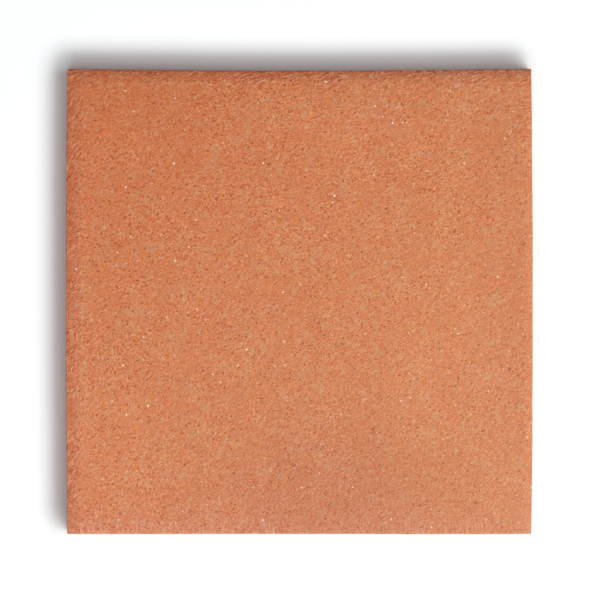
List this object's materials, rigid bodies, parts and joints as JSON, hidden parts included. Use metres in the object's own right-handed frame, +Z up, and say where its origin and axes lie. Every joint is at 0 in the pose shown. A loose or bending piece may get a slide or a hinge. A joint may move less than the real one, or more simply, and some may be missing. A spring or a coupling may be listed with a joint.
{
  "type": "terracotta tile",
  "caption": "Square unglazed terracotta paving tile: a solid slab of fired clay with a flat back, slightly bowed sides and a face rolled off softly at its edges.",
  "frame": {"origin": "centre of the underside, midway between the outermost points of the sides", "axes": "+Z up out of the face, +X towards the right side, +Y towards the far side, which draws in slightly"},
  "size_m": [0.3, 0.299, 0.02],
  "materials": {
    "terracotta": "unglazed, dry and matt, with sandy grog and small pits"
  },
  "bodies": {
    "root": {"tile": "terracotta"}
  },
  "joints": []
}
